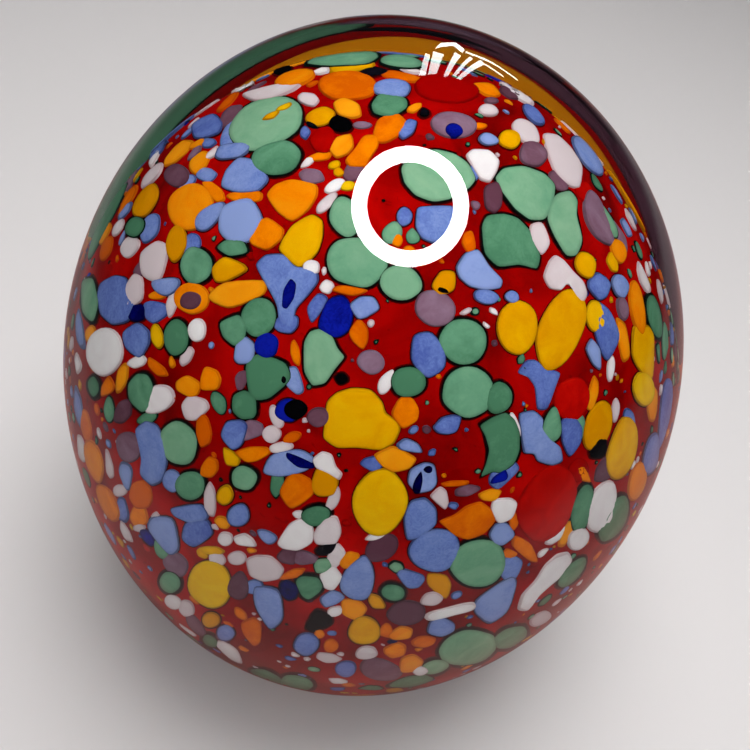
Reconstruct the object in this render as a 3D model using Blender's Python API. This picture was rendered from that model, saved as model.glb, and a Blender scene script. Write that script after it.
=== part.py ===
"""Cased glass paperweight: an egg of clear crystal round a red core set with coloured chips.

Metres, +Z up. The origin is the centre of the ground base, on the surface it stands on.
From the outside in: the clear casing, the chips fused on the core, the ruby ground layer
that carries them, and the gather of glass that the ground was picked up on.
"""

import math
import random

import bmesh
import bpy
from mathutils import Vector

MM = 0.001

# Every layer is an egg: two half ellipsoids that share their widest circle.
# (radius, height of the widest circle, half height above it, half height below it)
CASING_EGG = (37.5 * MM, 42.9 * MM, 44.1 * MM, 48.1 * MM)
CORE_EGG = (23.5 * MM, 42.0 * MM, 31.5 * MM, 48.9 * MM)  # the chips' outer faces

FIT_GAP = 0.3 * MM
CHIP_THICKNESS = 1.1 * MM
GROUND_THICKNESS = 3.0 * MM
INNER_BASE_LIFT = 0.2 * MM  # the layers inside the foot ring stand clear of the table

CASING_SIDES = 40
LAYER_SIDES = 32
CASING_RINGS = 10
LAYER_RINGS = 8

# The chips are laid out on a face drawing: where each one shows to an eye that looks
# down through the casing. Its axes are the eye's right and up, from VIEW_CENTRE.
VIEW_CENTRE = Vector((0.0, 0.0, 42.0 * MM))
VIEW_DISTANCE = 125.8 * MM
VIEW_ELEVATION = math.radians(45.0)
VIEW_TURN = math.radians(12.0)
GLASS_IOR = 1.5

LOWEST_CHIP = 1.5 * MM
PULL = 0.985
MOST_PULLS = 40

CHIP_SIDES = 12
CHIP_SHARE = 0.9  # a chip is a little smaller than its outline, so neighbours stay apart
# (share of the outline, share of the thickness) from the underside's edge to the crown.
CHIP_RINGS = ((0.96, 0.0), (1.0, 0.4), (0.9, 0.8), (0.55, 1.0))

# Front chips, in mm on the face drawing: right, up, length, width, turn in degrees, form.
FRONT_CHIPS = {
    "green": [
        (-13.4, 32.6, 9.3, 5.8, 25, "pebble"),
        (-12.0, 28.0, 6.2, 4.2, 10, "pebble"),
        (8.8, 25.7, 10.2, 6.5, -20, "pebble"),
        (20.5, 23.5, 7.7, 6.3, -20, "shard"),
        (26.0, 19.3, 8.2, 4.0, -65, "pebble"),
        (18.3, 17.3, 7.4, 6.6, -30, "pebble"),
        (-1.5, 14.6, 7.5, 6.0, -10, "pebble"),
        (-6.2, 2.6, 6.5, 4.9, 80, "drop"),
        (-13.4, 0.0, 5.8, 5.4, 30, "shard"),
        (12.1, 4.3, 5.9, 5.7, 0, "pebble"),
        (12.8, -2.2, 6.4, 6.3, 20, "pebble"),
        (17.4, -9.0, 8.3, 4.4, 100, "bean"),
        (14.1, -24.4, 6.8, 5.8, 20, "pebble"),
        (12.8, -35.2, 7.4, 4.3, 12, "pebble"),
    ],
    "blue": [
        (-10.6, 11.6, 8.0, 6.6, 60, "shard"),
        (-16.8, 20.0, 5.8, 5.2, 60, "shard"),
        (14.2, 13.8, 5.8, 5.0, -30, "shard"),
        (7.7, 2.6, 5.4, 4.4, 80, "shard"),
        (22.1, -8.0, 6.8, 5.0, 100, "shard"),
        (8.5, -22.8, 6.2, 5.2, 20, "pebble"),
        (16.8, -29.0, 6.4, 3.6, 45, "shard"),
        (-28.3, -10.2, 8.2, 4.2, 100, "bean"),
    ],
    "yellow": [
        (24.8, 5.8, 10.2, 5.2, 68, "pebble"),
        (19.2, 6.1, 6.5, 4.9, 90, "pebble"),
        (-1.2, -5.5, 9.0, 7.5, 0, "pebble"),
        (1.4, -16.5, 8.1, 6.6, 80, "pebble"),
        (-20.6, -27.1, 5.8, 5.2, 110, "pebble"),
    ],
    "orange": [
        (-2.8, 37.5, 7.1, 3.5, 0, "pebble"),
        (-9.9, 22.3, 6.2, 5.8, 20, "shard"),
        (-23.2, 21.8, 5.8, 5.2, 60, "pebble"),
        (13.2, -18.8, 6.5, 4.0, 15, "shard"),
    ],
    "white": [
        (25.4, 27.5, 6.8, 3.9, -50, "pebble"),
        (-34.2, 3.0, 5.8, 4.4, 90, "pebble"),
        (22.8, -26.8, 8.8, 3.0, 50, "pebble"),
        (30.2, -17.0, 6.5, 3.4, 70, "pebble"),
        (15.5, 27.3, 3.6, 3.2, 0, "pebble"),
    ],
    "red": [
        (23.1, -16.6, 9.6, 6.4, 65, "pebble"),
        (10.1, 37.0, 7.8, 3.1, -5, "pebble"),
    ],
    "mauve": [
        (8.6, 8.6, 4.9, 4.4, 0, "pebble"),
        (29.8, 20.3, 7.2, 2.6, -68, "bean"),
    ],
    "cobalt": [
        (-4.3, 7.4, 4.9, 4.4, 40, "shard"),
    ],
}

# Back chips: azimuth and height on the core in degrees and mm, then length, width,
# turn and form. Azimuth 0 is +X and 90 is +Y, the side away from the eye.
BACK_CHIPS = {
    "green": [
        (60, 44, 8.0, 6.0, 20, "pebble"),
        (118, 30, 7.0, 6.0, 70, "pebble"),
        (158, 47, 7.5, 5.5, 120, "pebble"),
        (78.5, 19.0, 5.6, 5.0, 20, "shard"),
    ],
    "blue": [
        (52, 24, 7.0, 5.5, 60, "shard"),
        (138, 52, 6.5, 5.0, 10, "pebble"),
        (96, 57, 7.0, 4.5, 150, "shard"),
        (10, 43, 7.0, 5.0, 80, "bean"),
    ],
    "yellow": [
        (98, 41, 9.0, 6.5, 15, "pebble"),
        (42, 56, 6.0, 4.5, 60, "pebble"),
    ],
    "orange": [
        (142, 36, 7.0, 5.0, 100, "shard"),
        (91.5, 22.6, 4.6, 3.4, 0, "pebble"),
    ],
    "white": [
        (78, 48, 6.0, 4.0, 40, "pebble"),
        (128, 16, 6.0, 4.0, 170, "drop"),
    ],
    "red": [
        (40, 35, 8.0, 5.5, 130, "pebble"),
    ],
    "mauve": [
        (101.5, 18.6, 5.2, 4.2, 150, "bean"),
    ],
}

# Colour (linear), roughness and the share of light that passes.
GLASSES = {
    "clear": ((0.93, 0.95, 0.94), 0.02, 1.0),
    "gather": ((0.86, 0.88, 0.87), 0.05, 1.0),
    "ruby": ((0.36, 0.006, 0.003), 0.12, 0.0),
    "green": ((0.12, 0.38, 0.22), 0.1, 0.0),
    "blue": ((0.15, 0.23, 0.62), 0.1, 0.0),
    "yellow": ((0.86, 0.47, 0.01), 0.1, 0.0),
    "orange": ((0.92, 0.22, 0.01), 0.1, 0.0),
    "white": ((0.75, 0.65, 0.67), 0.1, 0.0),
    "red": ((0.55, 0.008, 0.004), 0.1, 0.0),
    "mauve": ((0.24, 0.08, 0.12), 0.1, 0.0),
    "cobalt": ((0.004, 0.008, 0.2), 0.1, 0.0),
}


def clear_scene():
    for obj in list(bpy.data.objects):
        bpy.data.objects.remove(obj)


def glass(name):
    colour, roughness, transmission = GLASSES[name]
    material = bpy.data.materials.get(name + "_glass")
    if material:
        return material
    material = bpy.data.materials.new(name + "_glass")
    material.use_nodes = True
    shader = material.node_tree.nodes["Principled BSDF"]
    shader.inputs["Base Color"].default_value = (*colour, 1.0)
    shader.inputs["Roughness"].default_value = roughness
    shader.inputs["Metallic"].default_value = 0.0
    shader.inputs["IOR"].default_value = GLASS_IOR
    shader.inputs["Transmission Weight"].default_value = transmission
    return material


def add_object(name, shape, material):
    mesh = bpy.data.meshes.new(name)
    bmesh.ops.recalc_face_normals(shape, faces=shape.faces)
    shape.to_mesh(mesh)
    shape.free()
    mesh.materials.append(material)
    mesh.shade_smooth()
    mesh.set_sharp_from_angle(angle=math.radians(50))
    obj = bpy.data.objects.new(name, mesh)
    bpy.context.scene.collection.objects.link(obj)
    return obj


# Eggs


def grown(egg, by):
    """The egg whose wall lies this far outside the given one."""
    radius, widest, above, below = egg
    return radius + by, widest, above + by, below + by


def egg_arc(egg, rings, base):
    """(radius, height) points from the top of the egg down to where it is cut at height base."""
    radius, widest, above, below = egg
    points = [(0.0, widest + above)]
    for i in range(1, rings + 1):
        angle = math.pi / 2 * (1 - i / rings)
        points.append((radius * math.cos(angle), widest + above * math.sin(angle)))
    cut = math.asin((widest - base) / below)
    for i in range(1, rings + 1):
        angle = cut * i / rings
        points.append((radius * math.cos(angle), widest - below * math.sin(angle)))
    return points


def turned(profile, sides):
    """The solid that a profile makes as it turns about Z; both its ends lie on the axis."""
    shape = bmesh.new()
    corners = [shape.verts.new((r, 0.0, z)) for r, z in profile]
    edges = [shape.edges.new(pair) for pair in zip(corners, corners[1:])]
    bmesh.ops.spin(
        shape,
        geom=corners + edges,
        cent=(0, 0, 0),
        axis=(0, 0, 1),
        angle=2 * math.pi,
        steps=sides,
        use_merge=True,
    )
    bmesh.ops.remove_doubles(shape, verts=shape.verts, dist=1e-7)
    return shape


def open_shell(name, outer, inner, base, sides, rings, material):
    """A wall between two eggs, cut flat at height base, where its hollow opens."""
    profile = egg_arc(outer, rings, base) + egg_arc(inner, rings, base)[::-1]
    return add_object(name, turned(profile, sides), material)


def make_casing():
    cavity = grown(CORE_EGG, FIT_GAP)
    open_shell("clear_casing", CASING_EGG, cavity, 0.0, CASING_SIDES, CASING_RINGS, glass("clear"))


def ground_egg():
    return grown(CORE_EGG, -CHIP_THICKNESS - FIT_GAP)


def make_ground():
    outer = ground_egg()
    inner = grown(outer, -GROUND_THICKNESS)
    open_shell("ruby_ground", outer, inner, INNER_BASE_LIFT, LAYER_SIDES, LAYER_RINGS, glass("ruby"))


def make_gather():
    egg = grown(ground_egg(), -GROUND_THICKNESS - FIT_GAP)
    profile = egg_arc(egg, LAYER_RINGS, INNER_BASE_LIFT)
    profile.append((0.0, INNER_BASE_LIFT))
    add_object("gather_core", turned(profile, LAYER_SIDES), glass("gather"))


# Places on the core


def egg_normal(egg, point):
    radius, widest, above, below = egg
    half = above if point.z > widest else below
    flat = radius * radius
    return Vector((point.x / flat, point.y / flat, (point.z - widest) / half**2)).normalized()


def egg_hit(egg, start, direction):
    """Where a line first meets the egg, or None."""
    radius, widest, above, below = egg
    for half, is_top in ((above, True), (below, False)):
        squash = Vector((1 / radius, 1 / radius, 1 / half))
        p = (start - Vector((0, 0, widest))) * squash
        d = direction * squash
        a = d.dot(d)
        b = p.dot(d)
        inside = b * b - a * (p.dot(p) - 1)
        if inside < 0:
            continue
        hit = start + direction * ((-b - math.sqrt(inside)) / a)
        if (hit.z >= widest) == is_top:
            return hit
    return None


def bent(direction, normal):
    """The direction of a ray after it enters the glass."""
    cosine = -direction.dot(normal)
    ratio = 1 / GLASS_IOR
    inner = math.sqrt(1 - ratio**2 * (1 - cosine**2))
    return (direction * ratio + normal * (ratio * cosine - inner)).normalized()


def eye_axes():
    """The eye's right, up and forward directions."""
    forward = Vector((0, math.cos(VIEW_ELEVATION), -math.sin(VIEW_ELEVATION)))
    level = Vector((1, 0, 0))
    upright = level.cross(forward)
    right = level * math.cos(VIEW_TURN) + upright * math.sin(VIEW_TURN)
    up = upright * math.cos(VIEW_TURN) - level * math.sin(VIEW_TURN)
    return right, up, forward


def seen_spot(right, up):
    """The point of the core that shows at this place of the face drawing.
    A place past the core's edge is pulled in until it meets the core."""
    eye_right, eye_up, forward = eye_axes()
    eye = VIEW_CENTRE - forward * VIEW_DISTANCE
    for _ in range(MOST_PULLS):
        sight = (VIEW_CENTRE + eye_right * right + eye_up * up - eye).normalized()
        surface = egg_hit(CASING_EGG, eye, sight)
        if surface:
            inward = bent(sight, egg_normal(CASING_EGG, surface))
            spot = egg_hit(CORE_EGG, surface, inward)
            if spot and spot.z > LOWEST_CHIP:
                return spot
        right *= PULL
        up *= PULL
    raise ValueError(f"the core doesn't show near {right}, {up}")


def turned_spot(azimuth, height):
    """The point of the core at this azimuth and height."""
    radius, widest, above, below = CORE_EGG
    half = above if height > widest else below
    reach = radius * math.sqrt(1 - ((height - widest) / half) ** 2)
    return Vector((reach * math.cos(azimuth), reach * math.sin(azimuth), height))


# Chips


def chip_outline(length, width, turn, form, chance):
    """A function from (angle, share) to a place on the chip's outline, shrunk to that share."""
    phases = [chance.uniform(0, 2 * math.pi) for _ in range(3)]
    waves = {
        "pebble": (0.0, 0.02, 0.015),
        "drop": (0.0, 0.03, 0.02),
        "bean": (0.0, 0.02, 0.02),
        "shard": (0.06, 0.05, 0.03),
    }[form]

    def place(angle, share):
        reach = 1 + sum(
            wave * math.cos(order * angle + phase)
            for wave, order, phase in zip(waves, (3, 4, 5), phases)
        )
        along = reach * math.cos(angle)
        across = reach * math.sin(angle)
        if form == "drop":
            across *= 1 - 0.35 * along
        if form == "bean":
            across += 0.35 * (along * along - 0.5)
        x = along * length / 2 * share
        y = across * width / 2 * share
        return (
            x * math.cos(turn) - y * math.sin(turn),
            x * math.sin(turn) + y * math.cos(turn),
        )

    return place


def make_chip(name, colour, outline, spot_at):
    """A lens that follows the core: flat below, with a rounded rim and a domed top."""
    shape = bmesh.new()

    def lifted(x, y, rise):
        spot = spot_at(x, y)
        depth = CHIP_THICKNESS * (1 - rise)
        return shape.verts.new(spot - egg_normal(CORE_EGG, spot) * depth)

    def ring(share, rise):
        angles = [2 * math.pi * i / CHIP_SIDES for i in range(CHIP_SIDES)]
        return [lifted(*outline(a, share * CHIP_SHARE), rise) for a in angles]

    rings = [ring(share, rise) for share, rise in CHIP_RINGS]
    for lower, upper in zip(rings, rings[1:]):
        for i in range(CHIP_SIDES):
            j = (i + 1) % CHIP_SIDES
            shape.faces.new((lower[i], lower[j], upper[j], upper[i]))
    for end, rise in ((rings[0][::-1], 0.0), (rings[-1], 1.0)):
        middle = lifted(0.0, 0.0, rise)
        for i in range(CHIP_SIDES):
            shape.faces.new((end[i], end[(i + 1) % CHIP_SIDES], middle))
    return add_object(name, shape, glass(colour))


def make_front_chip(name, colour, row):
    right, up, length, width, turn, form = row
    outline = chip_outline(length * MM, width * MM, math.radians(turn), form, random.Random(name))
    make_chip(name, colour, outline, lambda x, y: seen_spot(right * MM + x, up * MM + y))


def make_back_chip(name, colour, row):
    azimuth, height, length, width, turn, form = row
    outline = chip_outline(length * MM, width * MM, math.radians(turn), form, random.Random(name))
    middle = turned_spot(math.radians(azimuth), height * MM)
    reach = math.hypot(middle.x, middle.y)
    normal = egg_normal(CORE_EGG, middle)
    slope = math.hypot(normal.x, normal.y)

    def spot_at(x, y):
        return turned_spot(math.radians(azimuth) + x / reach, height * MM + y * slope)

    make_chip(name, colour, outline, spot_at)


def make_chips():
    for colour in FRONT_CHIPS:
        front = FRONT_CHIPS[colour]
        back = BACK_CHIPS.get(colour, [])
        for number, row in enumerate(front, 1):
            make_front_chip(f"{colour}_chip_{number:02d}", colour, row)
        for number, row in enumerate(back, len(front) + 1):
            make_back_chip(f"{colour}_chip_{number:02d}", colour, row)


def main():
    clear_scene()
    make_casing()
    make_ground()
    make_gather()
    make_chips()


main()
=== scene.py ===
"""Looks for a cased glass paperweight: chips fused on a red core inside clear crystal."""

import math
import random

import bpy
import numpy as np
from mathutils import Matrix, Vector, kdtree


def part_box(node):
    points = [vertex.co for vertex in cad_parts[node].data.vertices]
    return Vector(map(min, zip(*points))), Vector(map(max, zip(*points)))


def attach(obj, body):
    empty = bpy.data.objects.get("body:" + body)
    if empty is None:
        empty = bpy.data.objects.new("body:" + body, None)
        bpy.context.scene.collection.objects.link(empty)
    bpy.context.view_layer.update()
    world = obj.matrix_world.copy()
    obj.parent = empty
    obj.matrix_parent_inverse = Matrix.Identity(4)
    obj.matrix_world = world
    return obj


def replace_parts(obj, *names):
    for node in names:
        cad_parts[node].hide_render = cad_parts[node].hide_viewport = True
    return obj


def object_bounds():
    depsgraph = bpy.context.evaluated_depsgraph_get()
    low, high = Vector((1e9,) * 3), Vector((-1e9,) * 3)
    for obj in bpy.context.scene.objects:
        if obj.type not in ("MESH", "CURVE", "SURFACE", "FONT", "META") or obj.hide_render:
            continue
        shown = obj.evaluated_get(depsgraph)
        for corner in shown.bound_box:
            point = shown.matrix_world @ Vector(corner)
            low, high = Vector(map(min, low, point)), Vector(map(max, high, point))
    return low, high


MM = 0.001
BODY = "root"

# The eggs' shapes, as in the CAD: where the widest circle lies, as a share of the top's
# height, and the half height below it as a share of the widest circle's height.
CASING_WIDEST, CASING_BELOW = 0.4931, 1.1212
GROUND_WIDEST, GROUND_BELOW = 0.5825, 1.131
CHIP_ROOM = 1.4 * MM  # from the CAD's ground layer out to the chips' outer faces

# The face drawing: where things show to an eye that looks down through the casing.
VIEW_DISTANCE = 125.8 * MM
VIEW_HEIGHT = 0.483  # share of the object's height
VIEW_ELEVATION = math.radians(45.0)
VIEW_TURN = math.radians(12.0)
VIEW_SIDESTEP = 0.77 * MM
LENS, SENSOR = 46.8, 36.0
GLASS_IOR = 1.5

GROUND_DEPTH = 0.2 * MM  # the red surface lies this far below the chips' faces
WALL_DEPTH = 1.2 * MM  # the casing's inner wall, out of sight inside the red layer
FOOT_RISE = 0.2 * MM

# (share of the outline, depth below the chips' faces in mm) from the crown to the rim.
CHIP_RINGS = ((0.45, 0.0), (0.75, 0.004), (0.88, 0.012), (0.95, 0.04), (0.985, 0.1), (1.0, 0.24))
SMALL_RINGS = ((0.55, 0.0), (0.88, 0.02), (1.0, 0.24))
ROOT_SHARE, ROOT_DEPTH = 0.97, 0.7
CHIP_SPREAD = 1.1  # how far the melted chips spread past the sizes below

# Chips seen in front, in mm on the face drawing: either right, up, length, width, turn in
# degrees and form, or the corners of the outline as (right, up) pairs.
# In each colour the first ones are the CAD's own chips, in the CAD's order.
FRONT_CHIPS = {
    "green": [
        (-13.4, 32.6, 9.3, 5.8, 25, "pebble"),
        (-12.0, 28.0, 6.2, 4.2, 10, "pebble"),
        ((4, 26.8), (5.5, 28.8), (8.6, 29.3), (11.2, 28.7), (12.9, 27.5), (14, 25.4),
         (13.2, 24.2), (10.5, 22.6), (8.4, 22.3), (6, 23.1), (4.4, 24.8)),
        ((16.1, 25.6), (17.2, 26.9), (19.9, 27.2), (22.8, 26.2), (24.3, 24.6), (23.8, 21.6),
         (22.8, 20), (20.8, 19.9), (18.7, 21.4), (16.8, 24)),
        ((24.2, 23.6), (26.1, 24), (27.1, 22.7), (26.9, 20.8), (27.8, 17.4), (27, 15.4),
         (25.6, 15.2), (24, 17.7), (23, 20.1), (23.2, 22.2)),
        ((14.6, 19.1), (15.2, 20.7), (17.5, 21), (19.4, 20.4), (21.4, 18.1), (22.3, 15.4),
         (21.9, 13.6), (19.4, 14.3), (16.6, 13.8), (14.8, 15.6)),
        (-1.5, 14.6, 7.5, 6.0, -10, "pebble"),
        ((-8.5, 4.2), (-7.7, 5.7), (-6, 6.1), (-4.7, 5), (-4, 3.4), (-3, 2.3), (-4.4, 0.7),
         (-5.6, -1.2), (-7.4, -1.6), (-8.5, 0.4)),
        (-13.4, 0.0, 5.8, 5.4, 30, "shard"),
        (12.1, 4.3, 5.9, 5.7, 0, "pebble"),
        (12.8, -2.2, 6.4, 6.3, 20, "pebble"),
        ((14.2, -6.5), (15.9, -5.5), (17.7, -4.8), (18.9, -5.7), (19.6, -7.5), (19.6, -9.9),
         (18.8, -11.7), (17.1, -12.8), (15.9, -12.6), (14.3, -13.4), (15.1, -11.6),
         (15.5, -9.7), (15, -7.8)),
        (14.1, -24.4, 6.8, 5.8, 20, "pebble"),
        (12.8, -35.2, 7.4, 4.3, 12, "pebble"),
        (-3.4, 40.7, 9.4, 1.7, 7, "shard"),
        (4.2, 40.5, 5.4, 1.7, -5, "pebble"),
        (2.6, 34.9, 4.6, 2.9, 0, "shard"),
        (-3.1, 20.4, 5.2, 3.9, 100, "pebble"),
        (4.1, 11.9, 5.3, 4.4, 0, "pebble"),
        (-22.3, 14.2, 4.6, 4.0, 100, "pebble"),
        (-17.6, 16.4, 3.8, 2.2, 10, "shard"),
        (-30.2, 19.1, 2.8, 2.2, 60, "pebble"),
        (-36.0, 9.7, 5.8, 2.2, 95, "shard"),
        (-24.9, 4.8, 4.6, 3.1, 90, "pebble"),
        (-14.3, 7.5, 4.6, 4.4, 40, "pebble"),
        (-17.5, 5.8, 3.9, 3.4, 90, "shard"),
        (16.8, -3.0, 4.0, 3.3, 70, "pebble"),
        (5.1, -0.9, 4.3, 3.7, 0, "pebble"),
        (23.7, -6.5, 4.6, 2.4, 80, "drop"),
        (-16.0, -4.0, 3.7, 3.3, 120, "shard"),
        (-24.6, -8.8, 5.5, 4.6, 110, "pebble"),
        (-23.1, -14.3, 3.7, 3.5, 0, "pebble"),
        (-16.1, -13.3, 3.3, 3.1, 0, "pebble"),
        (-29.4, -2.3, 4.9, 3.3, 95, "shard"),
        (-6.8, -18.2, 3.7, 2.5, 10, "pebble"),
        (-7.7, -27.5, 3.4, 3.1, 0, "shard"),
        (-25.7, -26.7, 2.8, 2.5, 130, "pebble"),
        (27.6, -17.3, 6.4, 2.4, 75, "pebble"),
        (31.7, -18.5, 6.2, 3.0, 65, "pebble"),
        (26.3, -25.5, 4.9, 1.9, 45, "pebble"),
        (3.1, -28.1, 3.1, 2.2, 0, "pebble"),
        (18.3, -33.9, 4.6, 2.4, 20, "shard"),
        (8.5, -37.7, 3.9, 1.8, 10, "pebble"),
        (-9.3, -39.7, 4.3, 1.8, -10, "pebble"),
        (36.9, 7.6, 5.8, 1.8, 102, "pebble"),
        (30.7, 20.0, 5.2, 1.5, -60, "pebble"),
        (-35.5, -1.5, 2.8, 1.5, 95, "pebble"),
        (-20.5, -34.3, 2.2, 1.4, -30, "pebble"),
        (-13.2, -38.8, 4.4, 1.3, -20, "pebble"),
    ],
    "blue": [
        ((-14.8, 14.3), (-13.4, 15.6), (-11, 15.7), (-9.6, 13.9), (-6.8, 13.9), (-6.5, 12.1),
         (-8, 10.2), (-9.6, 8.5), (-9.8, 5.4), (-11.6, 6.4), (-11.9, 9), (-12.9, 10.9),
         (-13.8, 12.4)),
        (-16.8, 20.0, 5.8, 5.2, 60, "shard"),
        ((11.2, 14), (12.4, 15.8), (14.2, 16.4), (15.6, 14.1), (17.4, 12.3), (17.1, 11.2),
         (15.1, 10.9), (13, 11.4), (11.6, 12.6)),
        (7.7, 2.6, 5.4, 4.4, 80, "shard"),
        ((19.4, -5), (21.4, -4.6), (22.6, -5.6), (22.4, -6.8), (23.6, -8.4), (24.9, -9.4),
         (25.2, -11.2), (23.8, -11.8), (21.8, -11.2), (21.4, -10.2), (20, -10.2), (19.7, -7.8)),
        (8.5, -22.8, 6.2, 5.2, 20, "pebble"),
        (16.8, -29.0, 6.4, 3.6, 45, "shard"),
        ((-30.3, -7), (-28.9, -5.8), (-27.4, -6.4), (-26.3, -8.6), (-26, -11.3), (-26.8, -13.8),
         (-28.1, -14.4), (-29.7, -12.9), (-29.4, -10.8), (-29.9, -8.9)),
        ((-19.3, 24.3), (-18.6, 26.5), (-16.9, 28.3), (-14, 27.7), (-12.9, 25.2), (-14.4, 23.7),
         (-17, 23.5)),
        ((6.1, 20.8), (6.3, 21.8), (11.2, 22), (11.1, 19.6), (10.3, 18.2), (8.6, 16.9),
         (6.8, 17.6), (6, 19.1)),
        (-21.0, 32.0, 3.9, 2.6, 30, "shard"),
        (-17.6, 29.0, 4.6, 2.0, 15, "shard"),
        (-20.6, 20.6, 4.6, 2.2, 42, "drop"),
        ((-34.8, 11.9), (-33, 12.9), (-31.3, 12.6), (-31, 10.5), (-30, 9.2), (-31, 6.9),
         (-33.2, 6.4), (-34.8, 7.8), (-35.2, 10.2)),
        (-30.1, 4.5, 4.2, 3.3, 90, "shard"),
        (-26.3, 11.6, 3.4, 2.2, 0, "bean"),
        (-10.7, 6.7, 2.9, 2.5, 0, "shard"),
        (-0.6, 8.8, 3.4, 2.6, 20, "shard"),
        (-16.1, 3.0, 3.3, 2.8, 60, "shard"),
        (2.9, 37.1, 4.6, 2.3, 0, "pebble"),
        (5.0, 31.9, 2.8, 1.7, 40, "shard"),
        (15.5, 30.5, 2.5, 1.5, -10, "pebble"),
        (21.3, 33.7, 3.4, 1.5, -45, "pebble"),
        (28.3, 28.4, 5.8, 1.9, -55, "pebble"),
        (4.6, 20.5, 2.3, 1.9, 90, "pebble"),
        (15.2, 10.1, 3.1, 1.8, -10, "pebble"),
        (18.5, 10.1, 1.7, 1.5, 0, "pebble"),
        (29.9, 11.5, 3.2, 2.6, -60, "shard"),
        (32.6, 11.5, 3.0, 2.0, -75, "pebble"),
        (30.7, 5.8, 7.2, 3.0, 100, "shard"),
        ((28, 3.4), (28.8, 4.9), (30, 3.4), (30.1, 0.4), (28.9, 1.4)),
        (26.3, -7.7, 5.2, 2.6, 95, "shard"),
        (10.3, -6.5, 3.6, 2.3, 30, "shard"),
        (5.3, -9.2, 3.2, 1.5, -15, "shard"),
        (7.0, -13.3, 3.9, 3.6, 60, "shard"),
        ((4.4, -18.5), (5.3, -16.3), (7.3, -15.8), (8.8, -17.3), (8.8, -19.4), (6.6, -21.2),
         (4.8, -21.5)),
        (17.2, -20.6, 3.1, 2.8, 0, "shard"),
        (9.3, -32.6, 3.4, 2.3, 10, "shard"),
        (-17.5, -7.7, 3.7, 3.0, 80, "shard"),
        (-10.5, -11.4, 6.2, 3.0, 10, "shard"),
        (-23.2, -17.8, 4.6, 2.4, -10, "shard"),
        (-22.2, -20.4, 3.7, 3.3, 0, "shard"),
        (-16.9, -18.2, 2.9, 2.6, 40, "pebble"),
        (-26.3, -20.6, 5.2, 3.2, 115, "shard"),
        (-1.3, -26.2, 5.4, 3.8, 75, "drop"),
        (-12.8, -29.7, 5.5, 3.4, 115, "shard"),
        (-8.1, -34.8, 3.1, 2.8, 0, "pebble"),
        (36.6, -10.2, 5.2, 1.8, 80, "pebble"),
        (-18.5, -33.3, 2.2, 2.0, 0, "pebble"),
    ],
    "yellow": [
        (24.8, 5.8, 10.2, 5.2, 68, "pebble"),
        (19.2, 6.1, 6.5, 4.9, 90, "pebble"),
        ((-5.5, -3.5), (-4.2, -2.3), (-2.2, -1.7), (0.2, -1.9), (1.7, -3.5), (2.1, -5),
         (3.7, -6), (4.1, -7), (3.3, -8.9), (1.6, -9.8), (-1.5, -9.4), (-4.2, -9.5), (-6, -8.2),
         (-5.7, -6)),
        (1.4, -16.5, 8.1, 6.6, 80, "pebble"),
        (-20.6, -27.1, 5.8, 5.2, 110, "pebble"),
        (-28.8, 22.5, 4.6, 2.3, 55, "pebble"),
        (-24.9, 17.0, 4.6, 2.5, 80, "pebble"),
        (-18.2, 13.8, 4.2, 2.9, 20, "shard"),
        ((-11.3, 17.4), (-10, 19.4), (-7.4, 20.9), (-6, 20), (-6, 17.9), (-6.6, 15.9),
         (-8, 14.4), (-9.1, 13.8), (-10.1, 14.5), (-11.8, 16.2)),
        (-6.3, 33.4, 3.7, 2.2, 15, "pebble"),
        (-27.4, 5.0, 3.1, 1.5, 100, "pebble"),
        (18.2, 30.5, 2.7, 2.3, 0, "pebble"),
        (28.1, 14.2, 3.4, 2.5, 110, "pebble"),
        (9.8, 11.9, 3.3, 2.7, 70, "shard"),
        (29.4, 7.6, 3.9, 2.4, 95, "pebble"),
        (29.7, -6.6, 6.2, 3.2, 75, "pebble"),
        (32.9, -9.5, 7.7, 3.4, 75, "pebble"),
        (35.6, -1.8, 4.2, 2.6, 95, "pebble"),
        (35.6, 3.0, 6.8, 2.8, 95, "shard"),
        (-18.6, -15.5, 2.5, 2.0, 70, "pebble"),
        (-5.7, -13.9, 3.7, 3.2, 70, "shard"),
        (-0.6, -33.0, 3.9, 3.4, 0, "pebble"),
        (1.0, -29.4, 2.4, 1.6, -30, "shard"),
        (-20.4, -31.6, 2.2, 1.9, 0, "pebble"),
    ],
    "orange": [
        (-2.8, 37.5, 7.1, 3.5, 0, "pebble"),
        ((-13.4, 23.3), (-12.2, 24.7), (-10, 25.4), (-6.7, 24.7), (-6.7, 23.2), (-7.8, 21.4),
         (-10, 19.7), (-12, 21.1)),
        (-23.2, 21.8, 5.8, 5.2, 60, "pebble"),
        ((9, -19), (11.1, -18.2), (12.6, -17), (14.5, -16.4), (16, -17.5), (16.5, -18.8),
         (15, -20.6), (12.8, -21.4), (11, -20.8), (10, -19.8)),
        (-9.6, 38.4, 5.0, 1.9, 15, "pebble"),
        (-2.8, 34.5, 3.6, 2.2, -20, "shard"),
        (-3.5, 29.7, 3.2, 2.4, 30, "shard"),
        ((-0.7, 31.1), (1.2, 31.1), (1.2, 29.6), (-0.1, 27.7), (-0.4, 26.9), (-2.6, 26.9),
         (-3.2, 27.8), (-1.9, 29.2)),
        ((-16, 18.1), (-14.8, 19.7), (-13.2, 20.5), (-11, 18.9), (-11.3, 17.5), (-13.2, 16),
         (-15.2, 16.8)),
        (-17.0, 10.7, 7.1, 3.2, 20, "shard"),
        (-23.0, 9.9, 4.2, 3.8, 0, "pebble"),
        (-1.3, 5.2, 3.6, 2.3, 100, "shard"),
        (2.7, 32.0, 4.6, 3.3, 10, "shard"),
        (32.4, 16.1, 3.1, 1.7, -70, "pebble"),
        (34.8, 8.6, 6.8, 1.7, 100, "pebble"),
        (-23.4, -1.5, 3.0, 2.6, 0, "shard"),
        (-20.5, -0.6, 2.8, 2.4, 80, "shard"),
        (-21.4, -7.2, 4.0, 1.8, 95, "shard"),
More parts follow.
